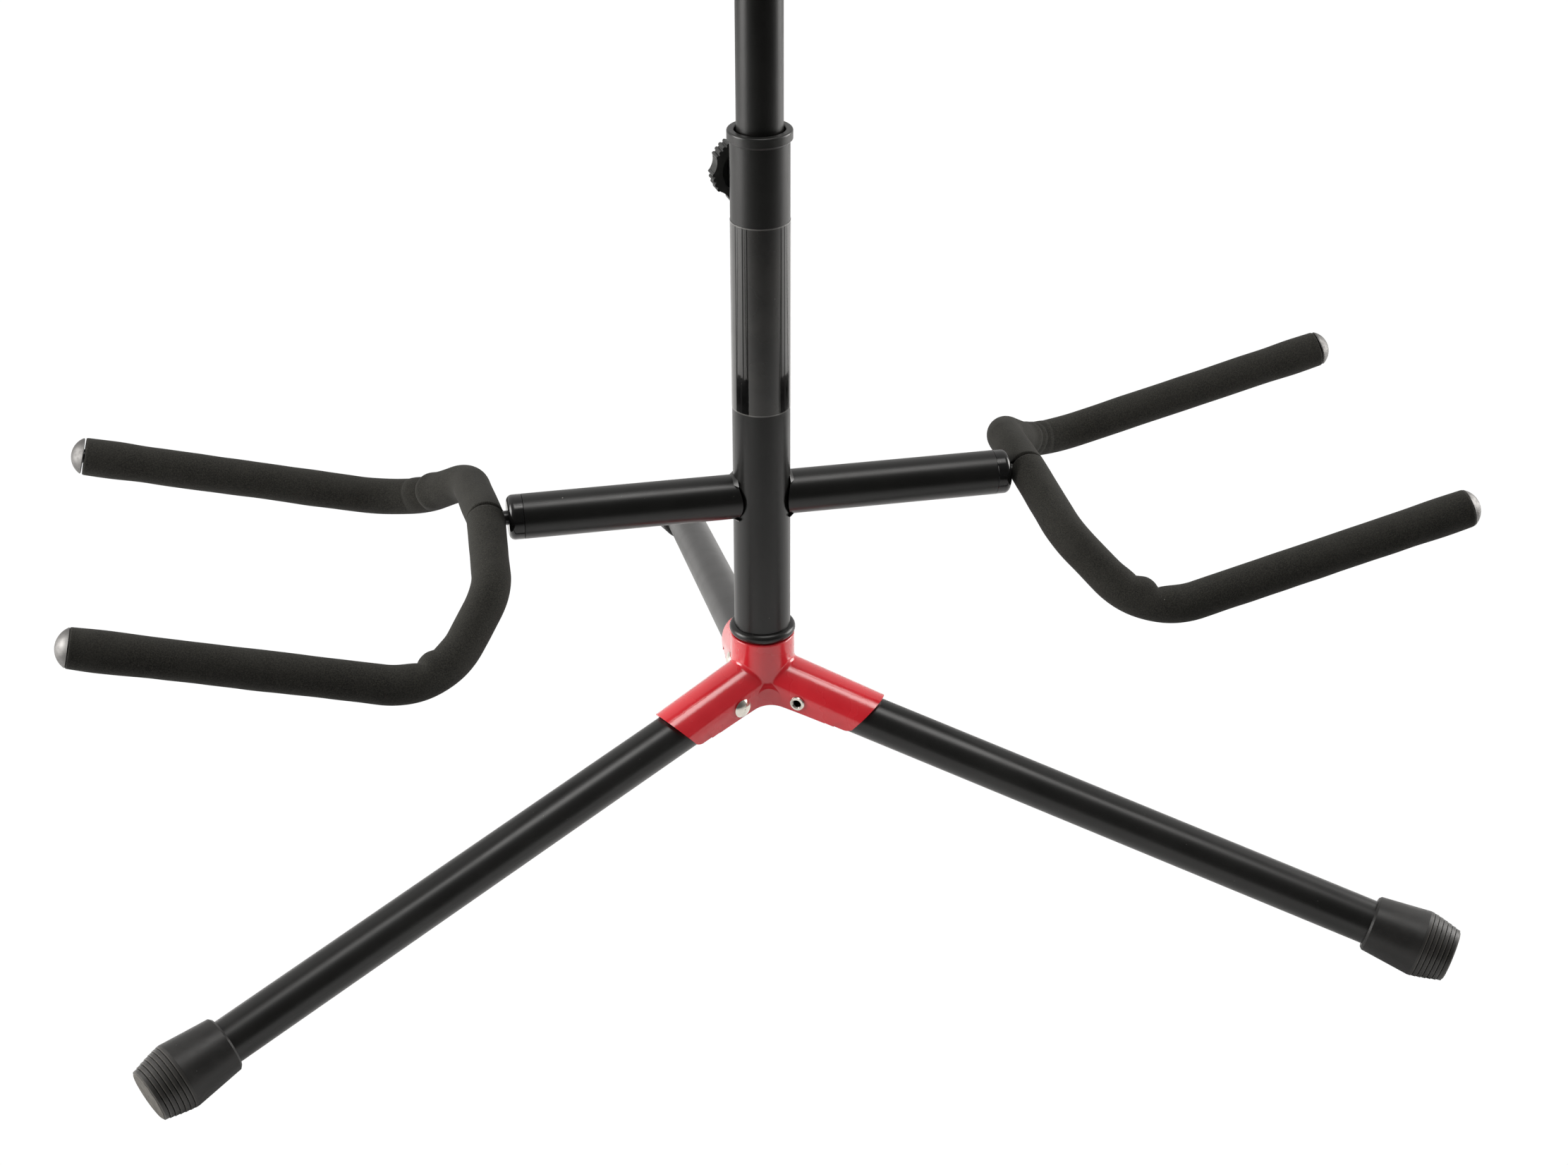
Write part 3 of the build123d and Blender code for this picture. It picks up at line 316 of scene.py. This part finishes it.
def foot_rubber(name, azimuth):
    """Moulded rubber of one foot: satin sides, paler ribs with a painted highlight along each crest's
    edge and painted shade in the grooves, pale scuffed end with its gate mark.
    """
    t = Tree(name)
    away = Vector((cos(radians(azimuth)), sin(radians(azimuth)), 0.0))
    along = away * cos(radians(LEG_SLOPE)) - Vector((0, 0, sin(radians(LEG_SLOPE))))
    pivot = away * PIVOT_RADIUS + Vector((*MAST, PIVOT_Z))
    rel = t.vec("SUBTRACT", t.point, tuple(pivot))
    distance = t.vec("DOT_PRODUCT", rel, tuple(along))
    across = t.vec("SUBTRACT", rel, t.vec("MULTIPLY", t.spread(distance), tuple(along)))
    cloud = t.noise(55.0, 5.0, 0.65)
    smear = t.noise(30.0, 4.0, 0.6, stretch=(1.0, 1.0, 0.4))
    color = t.mix(t.ramp(cloud, 0.3, 0.75), RUBBER_DARK, RUBBER_LIGHT)
    color = t.mix(t.ramp(smear, 0.60, 0.72, 0.0, 0.5), color, RUBBER_SMEAR)
    # ribs: paler crests, a painted highlight along each crest's edge and painted shade in the grooves
    # between them; place runs from 0 to 1 over each
    ribs = t.ramp(distance, FOOT_RIDGE, FOOT_RIDGE + 0.0006)
    pitch = (FOOT_END - FOOT_RIDGE) / FOOT_RIDGES
    place = t.math("FRACT", t.math("DIVIDE", t.math("SUBTRACT", distance, FOOT_RIDGE), pitch))
    color = t.mix(t.math("MULTIPLY", ribs, 0.45), color, RIB_CREST)
    # painted highlight: a pale band along the edge of each rib's crest
    rim = t.math("MULTIPLY", t.ramp(place, 0.52, 0.72), t.ramp(place, 0.84, 0.80))
    color = t.mix(t.math("MULTIPLY", t.math("MULTIPLY", rim, ribs), 0.55), color, RIB_EDGE_HIGHLIGHT)
    # painted shade: near-black in the grooves between the ribs
    groove_shade = t.math("MULTIPLY", t.ramp(place, 0.82, 0.88), ribs)
    color = t.mix(t.math("MULTIPLY", groove_shade, 0.85), color, RIB_GROOVE_SHADE)
    end = t.ramp(distance, FOOT_END - 0.0004, FOOT_END - 0.0002)
    scuff = t.mix(t.ramp(t.noise(260.0, 5.0, 0.7), 0.3, 0.7), SCUFF_DARK, SCUFF_LIGHT)
    color = t.mix(end, color, scuff)
    gate = t.ramp(t.vec("LENGTH", across), 0.0006, 0.0009, 1.0, 0.0)
    color = t.mix(t.math("MULTIPLY", end, gate), color, GATE_MARK)
    color = dusted(t, color, 1.2)
    normal = t.bump(t.noise(700.0, 3.0, 0.6), 0.00005, 0.6)
    rough = t.math("ADD", t.ramp(cloud, 0.3, 0.8, 0.36, 0.50), t.math("MULTIPLY", end, 0.4), clamp=True)
    return t.set(Base_Color=color, Roughness=rough, Normal=normal, Specular_IOR_Level=0.45)


# ------------------------------------------------------------------------------------------------
# Materials for every CAD node
# ------------------------------------------------------------------------------------------------
finish = {
    "hub_enamel": enamel("red_enamel"),
    "black_satin": powder_coat("black_satin_coat", (0.0050, 0.0049, 0.0045), 0.31),
    "black_rod": powder_coat("black_rod_coat", (0.010, 0.010, 0.0095), 0.26),
    "label_film": label_film("label_wrap"),
    "bush_plastic": moulded("bush_nylon", (0.010, 0.010, 0.0095), 0.28, 0.00003, 0.05),
    "knob_plastic": moulded("knob_moulding", (0.016, 0.016, 0.015), 0.38, 0.00006, 0.10),
    "cap_plastic": moulded("cap_moulding", (0.006, 0.006, 0.006), 0.11, 0.00001, 0.03, 0.5),
    "nylon": moulded("natural_nylon", (0.55, 0.53, 0.47), 0.42, 0.00004, 0.6, 0.3),
    "zinc_steel": plated("zinc_plate", (0.62, 0.62, 0.60), 0.30),
    "rivet_nickel": plated("rivet_nickel", (0.86, 0.82, 0.74), 0.16, 0.00001),
    "dome_nickel": plated("dome_plate", (0.175, 0.171, 0.167), 0.46, 0.000002),
    "foam": foam("foam_skin"),
}
feet = {n: foot_rubber(f"foot_rubber_{n}", a) for n, a in LEG_AZIMUTHS.items()}

for entry in frame["record"]["subparts"]:
    node = frame["nodes"][entry["node"]]
    slot = entry["material_slot"]
    material = feet[int(entry["node"][-1])] if slot == "foot_rubber" else finish[slot]
    if not node.material_slots:
        node.data.materials.append(material)
    for place in node.material_slots:
        place.material = material


# ------------------------------------------------------------------------------------------------
# Foam sleeves (millimetres from the mast axis, for an arm on the right of the stand towards the rear)
# ------------------------------------------------------------------------------------------------
STEP = 0.8  # between stations along a sleeve
AROUND = 80  # points round each ring
BORE = 4.25
FACE_INSET = 0.4  # how far in from the skin the cut end faces start
SLIT = 0.35  # half the slit between the two sleeves of a yoke
ROD_NOTCH = 4.6  # radius cleared round the pivot rod
ROOT = 8.0  # only this much of a sleeve can reach its neighbour or the pivot rod

# an arm's centreline from its pivot to its tip, its bend radii, height, foam radius and swell at the tip
Arm = namedtuple("Arm", "name points bends z radius swell")
ARM_RISE = tan(radians(14.8))
YOKE_POINTS = (
    (154.0, 0, 0),
    (157.5, 65.4, -8.0),
    (191.0, 108.7, 8.7 - 184.4 * ARM_RISE),
    (375.4, 108.7, 8.7),
)
NECK_POINTS = ((80.5, 0, 0), (84.5, 38.0, 0), (165.0, 38.0, 22.0))
YOKE = Arm("yoke", YOKE_POINTS, (37.0, 45.0), 227.2, 10.5, 0.35)
NECK = Arm("neck", NECK_POINTS, (24.0,), 690.0, 10.0, 0.2)
TIP_GAP = {"front": 3.6, "rear": 4.6}  # from the end of the body yokes' foam to the end of the rod
NECK_TIP_GAP = 4.6
# folds: place along the sleeve, depth, bulge before it, width, and how tightly it keeps to the inner side
FOLDS = {
    ("left", "front"): [(129.0, 2.6, 1.6, 3.4, 1.2), (114.0, 0.7, 0.5, 3.0, 1.6)],
    ("left", "rear"): [(106.0, 2.2, 1.6, 2.4, 0.7), (119.0, 0.9, 0.5, 2.2, 0.9)],
    ("right", "front"): [(127.0, 3.0, 1.8, 3.6, 1.2), (111.0, 1.0, 0.6, 3.0, 1.4)],
    ("right", "rear"): [
        (113.0, 0.7, 0.4, 1.6, 0.7),
        (119.0, 0.7, 0.3, 1.4, 0.7),
        (127.0, 0.6, 0.3, 1.6, 0.8),
    ],
}
NECK_FOLDS = [(44.0, 1.4, 0.7, 2.4, 1.1), (50.5, 1.0, 0.5, 2.0, 1.2)]
SIDES = {"left": -1, "right": 1}
PLACES = {"front": -1, "rear": 1}
FIRST_SEED, NECK_SEED = 12, 20


def rounded_path(points, bends):
    """Stations along a rounded polyline: places, tangents, inward bend directions, lengths, uprights."""
    points = [np.array(p, float) for p in points]
    out = []

    def straight(a, b, inward):
        length = np.linalg.norm(b - a)
        n = max(2, int(length / STEP))
        for k in range(n):
            out.append((a + (b - a) * k / n, (b - a) / length, inward))

    start = points[0]
    for i, radius in enumerate(bends, start=1):
        u = points[i] - points[i - 1]
        v = points[i + 1] - points[i]
        u, v = u / np.linalg.norm(u), v / np.linalg.norm(v)
        turn = np.arccos(np.clip(u @ v, -1, 1))
        set_back = radius * tan(turn / 2)
        bend_start = points[i] - u * set_back
        inward = v - u * (u @ v)
        inward /= np.linalg.norm(inward)
        straight(start, bend_start, inward)
        centre = bend_start + inward * radius
        n = max(6, int(radius * turn / STEP))
        for k in range(n):
            w = turn * k / n
            out.append((centre - inward * radius * cos(w) + u * radius * sin(w),
                        u * cos(w) + inward * sin(w), inward * cos(w) - u * sin(w)))
        start = points[i] + v * set_back
        last = inward * cos(turn) - u * sin(turn)
    straight(start, points[-1], last)
    out.append((points[-1], (points[-1] - start) / np.linalg.norm(points[-1] - start), last))
    place, tangent, inward = (np.array([o[k] for o in out]) for k in range(3))
    s = np.concatenate([[0], np.cumsum(np.linalg.norm(np.diff(place, axis=0), axis=1))])
    # the inward direction changes from one bend's to the next over a few millimetres
    gain = np.exp(-(((s[:, None] - s[None, :]) / 9.0) ** 2))
    inward = (gain / gain.sum(axis=1, keepdims=True)) @ inward
    upright = [np.array([0.0, 0.0, 1.0])]
    for t in tangent:
        n = upright[-1] - t * (t @ upright[-1])
        upright.append(n / np.linalg.norm(n))
    return place, tangent, inward, s, np.array(upright[1:])


def wobble(rng, s, theta, amount, lengths=(70.0, 38.0, 21.0)):
    """Smooth seeded unevenness over a sleeve's surface."""
    total = np.zeros(np.broadcast(s, theta).shape)
    for k, length in enumerate(lengths):
        for turns in (0, 1, 2, 3):
            phase = rng.uniform(0, 2 * pi, 2)
            gain = rng.uniform(0.4, 1.0) / (1 + k) / (1 + 0.5 * turns)
            wave = np.sin(s / length * 2 * pi + phase[0]) * np.cos(turns * theta + phase[1])
            total = total + gain * wave
    return total * amount / 2.0


def skin(s, length, theta, arm, inner_side, folds, rng):
    """Outer radius at each station and angle: unevenness, a swell near the tip, folds, rounded ends."""
    outer = arm.radius + wobble(rng, s[:, None], theta[None, :], 0.22)
    outer += arm.swell * np.exp(-(((length - s) - 16.0) / 12.0) ** 2)[:, None]
    for at, depth, bulge, width, focus in folds:
        # the crease wanders a little as it runs round the sleeve
        u = s[:, None] - at - 1.2 * np.sin(2 * theta + at)[None, :]
        lip = bulge * np.exp(-(((u + 2.4 * width) / (1.9 * width)) ** 2))
        gap = -depth * np.exp(-np.abs(u) / np.where(u < 0, width * 0.45, width * 1.3))
        outer += (lip + gap) * inner_side**focus
    for end in (s, length - s):
        outer -= 0.5 * np.clip(1 - end, 0, 1)[:, None] ** 2
    return outer


def closed_rings(place, spokes, outer):
    """Rings over the skin, the tip's cut face, back along the bore and over the root's cut face."""

    def ring(k, radius):
        return place[k] + np.broadcast_to(radius, AROUND)[:, None] * spokes[k]

    def face(k, shares):
        return [ring(k, BORE + (outer[k] - FACE_INSET - BORE) * share) for share in shares]

    last = len(place) - 1
    rings = [ring(k, outer[k]) for k in range(len(place))]
    rings += face(last, (0.72, 0.4, 0.15, 0.0))
    rings += [ring(k, BORE) for k in range(last - 4, 4, -5)]
    rings += face(0, (0.0, 0.15, 0.4, 0.72))
    return np.array(rings)


def trim_root(points, rod_end):
    """Stops a sleeve short of its neighbour, and notches it round the pivot rod."""
    near = points[:, 1] < ROOT
    floor = np.full(len(points), SLIT)
    dz = np.abs(points[:, 2])
    facing = (points[:, 0] < rod_end) & (dz < ROD_NOTCH)
    floor[facing] = np.maximum(SLIT, np.sqrt(np.maximum(0, ROD_NOTCH**2 - dz[facing] ** 2)))
    points[near, 1] = np.maximum(points[near, 1], floor[near])


def ring_mesh(name, points, count):
    """Mesh of a closed loop of rings, with smooth faces that look outwards."""
    faces = []
    for i in range(count):
        j = (i + 1) % count
        for a in range(AROUND):
            b = (a + 1) % AROUND
            faces.append((i * AROUND + a, i * AROUND + b, j * AROUND + b, j * AROUND + a))
    mesh = bpy.data.meshes.new(name)
    mesh.from_pydata(points.tolist(), [], faces)
    mesh.update()
    bm = bmesh.new()
    bm.from_mesh(mesh)
    bmesh.ops.recalc_face_normals(bm, faces=bm.faces)
    bm.to_mesh(mesh)
    bm.free()
    mesh.polygons.foreach_set("use_smooth", [True] * len(mesh.polygons))
    return mesh


def foam_sleeve(arm, side, place, folds, seed, tip_gap):
    """One bent foam sleeve over a rod, with the folds that bending pressed into it."""
    path = rounded_path(arm.points, arm.bends)
    length = path[3][-1] - tip_gap
    keep = path[3] < length
    centre, tangent, inward, s, upright = (a[keep] for a in path)
    theta = np.linspace(0, 2 * pi, AROUND, endpoint=False)
    beside = np.cross(tangent, upright)
    spokes = (np.cos(theta)[None, :, None] * upright[:, None, :]
              + np.sin(theta)[None, :, None] * beside[:, None, :])
    inner_side = np.clip(np.einsum("kac,kc->ka", spokes, inward), 0, 1)
    outer = skin(s, length, theta, arm, inner_side, folds, np.random.default_rng(seed))
    rings = closed_rings(centre, spokes, outer)
    points = rings.reshape(-1, 3)
    trim_root(points, arm.points[0][0])
    points *= (SIDES[side], PLACES[place], 1.0)
    points[:, 2] += arm.z
    points = points * MM + np.array([*MAST, 0.0])
    mesh = ring_mesh(f"{arm.name}_sleeve_{side}_{place}", points, len(rings))
    mesh.materials.append(finish["foam"])
    sleeve = bpy.data.objects.new(mesh.name, mesh)
    scene.collection.objects.link(sleeve)
    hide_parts(f"{arm.name}_foam_{side}_{place}")
    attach(sleeve, f"{arm.name}_{side}")


for seed, (side, place) in enumerate(product(SIDES, PLACES), start=FIRST_SEED):
    foam_sleeve(YOKE, side, place, FOLDS[side, place], seed, TIP_GAP[place])
    foam_sleeve(NECK, side, place, NECK_FOLDS, seed + NECK_SEED, NECK_TIP_GAP)


# ------------------------------------------------------------------------------------------------
# Studio
# ------------------------------------------------------------------------------------------------
FLOOR_SIZE = 12.0  # half its side
# a stretch of Y, and the paper's grey or the surroundings' strength at its two ends; the paper's grey is
# painted shade, darker towards the camera
FLOOR_PAINTED_SHADE = (-1.25, -0.05, 0.07, 0.85)
AROUND_TONE = (-0.8, 0.8, 0.08, 0.70)
BACKDROP = 1.02


def studio_floor():
    """Large pale floor that lights the stand and shows in its coat, but not to the camera.

    It is clear from below, so that legs folded down past it are lit as well."""
    corners = [(x * FLOOR_SIZE, y * FLOOR_SIZE, 0) for x, y in ((-1, -1), (1, -1), (1, 1), (-1, 1))]
    mesh = bpy.data.meshes.new("floor")
    mesh.from_pydata(corners, [], [(0, 1, 2, 3)])
    floor = bpy.data.objects.new("floor", mesh)
    scene.collection.objects.link(floor)
    floor.visible_camera = False
    mat = bpy.data.materials.new("floor_paper")
    mat.use_nodes = True
    t = Nodes(mat.node_tree)
    t.nodes.clear()
    # painted shade: the paper's grey darkens towards the camera, standing in for less light falling on
    # the floor in front
    spot = t.add("ShaderNodeNewGeometry").outputs
    paper = t.add("ShaderNodeBsdfDiffuse")
    t.put(paper.inputs["Color"], t.ramp(t.xyz(spot["Position"])[1], *FLOOR_PAINTED_SHADE))
    sides = t.add("ShaderNodeMixShader")
    t.put(sides.inputs[0], spot["Backfacing"])
    t.put(sides.inputs[1], paper.outputs[0])
    t.put(sides.inputs[2], t.add("ShaderNodeBsdfTransparent").outputs[0])
    t.put(t.add("ShaderNodeOutputMaterial").inputs[0], sides.outputs[0])
    mesh.materials.append(mat)


def studio_world():
    """White backdrop for the camera; pale surroundings for the stand, dimmer behind the camera."""
    world = bpy.data.worlds.new("studio")
    scene.world = world
    world.use_nodes = True
    t = Nodes(world.node_tree)
    t.nodes.clear()
    direction = t.add("ShaderNodeTexCoord").outputs["Generated"]
    around = t.add("ShaderNodeBackground")
    t.put(around.inputs["Color"], (1.0, 0.99, 0.975))
    t.put(around.inputs["Strength"], t.ramp(t.xyz(direction)[1], *AROUND_TONE, kind="LINEAR"))
    backdrop = t.add("ShaderNodeBackground")
    t.put(backdrop.inputs["Color"], (1.0, 1.0, 1.0))
    t.put(backdrop.inputs["Strength"], BACKDROP)
    pick = t.add("ShaderNodeMixShader")
    t.put(pick.inputs[0], t.add("ShaderNodeLightPath").outputs["Is Camera Ray"])
    t.put(pick.inputs[1], around.outputs[0])
    t.put(pick.inputs[2], backdrop.outputs[0])
    t.put(t.add("ShaderNodeOutputWorld").inputs[0], pick.outputs[0])


def softbox(name, at, aim, size, power, fade=0.3):
    """Rectangular soft light whose panel dims towards its edges."""
    light = bpy.data.lights.new(name, "AREA")
    light.shape = "RECTANGLE"
    light.size, light.size_y = size
    light.energy = power
    light.color = (1.0, 0.985, 0.965)
    light.use_nodes = True
    t = Nodes(light.node_tree)
    glow = next(n for n in t.nodes if n.type == "EMISSION")
    across, up, _ = t.xyz(t.add("ShaderNodeNewGeometry").outputs["Parametric"])
    strength = 1.0
    for part in (across, up):
        for edge, inner in ((0.0, fade), (1.0, 1.0 - fade)):
            strength = t.math("MULTIPLY", strength, t.ramp(part, edge, inner))
    t.put(glow.inputs["Strength"], strength)
    lamp = bpy.data.objects.new(name, light)
    lamp.location = at
    lamp.rotation_euler = (Vector(aim) - Vector(at)).to_track_quat("-Z", "Y").to_euler()
    scene.collection.objects.link(lamp)


studio_floor()
studio_world()
softbox("softbox_left", (-1.5, 0.02, 0.70), (0.0, 0.02, 0.45), (1.3, 1.5), 58.0)
softbox("softbox_right", (1.55, 0.15, 0.70), (0.0, 0.15, 0.45), (1.3, 1.5), 50.0)
softbox("softbox_top", (0.2, -0.3, 2.05), (0.2, -0.3, 0.0), (1.5, 1.2), 32.0, 0.4)

# ------------------------------------------------------------------------------------------------
# Camera, at the photograph's viewing angle
# ------------------------------------------------------------------------------------------------
IMAGE_WIDTH = 2223
FOCAL_PX = 3623.4
SENSOR = 36.0
EYE = (-0.2412, -1.2456 + MAST[1], 0.8826)
AZIMUTH, PITCH, ROLL = radians(78.48), radians(29.31), radians(-0.03)
camera = bpy.data.cameras.new("camera")
camera.sensor_width = SENSOR
camera.lens = FOCAL_PX / IMAGE_WIDTH * SENSOR
camera.clip_start, camera.clip_end = 0.05, 60.0
eye = bpy.data.objects.new("camera", camera)
look = Vector((cos(AZIMUTH) * cos(PITCH), sin(AZIMUTH) * cos(PITCH), -sin(PITCH)))
right = Vector((sin(AZIMUTH), -cos(AZIMUTH), 0.0))
turn = Matrix((right, right.cross(look), -look)).transposed() @ Matrix.Rotation(ROLL, 3, "Z")
eye.matrix_world = Matrix.Translation(EYE) @ turn.to_4x4()
scene.collection.objects.link(eye)
scene.camera = eye
scene.view_settings.view_transform = "Standard"
scene.view_settings.look = "None"
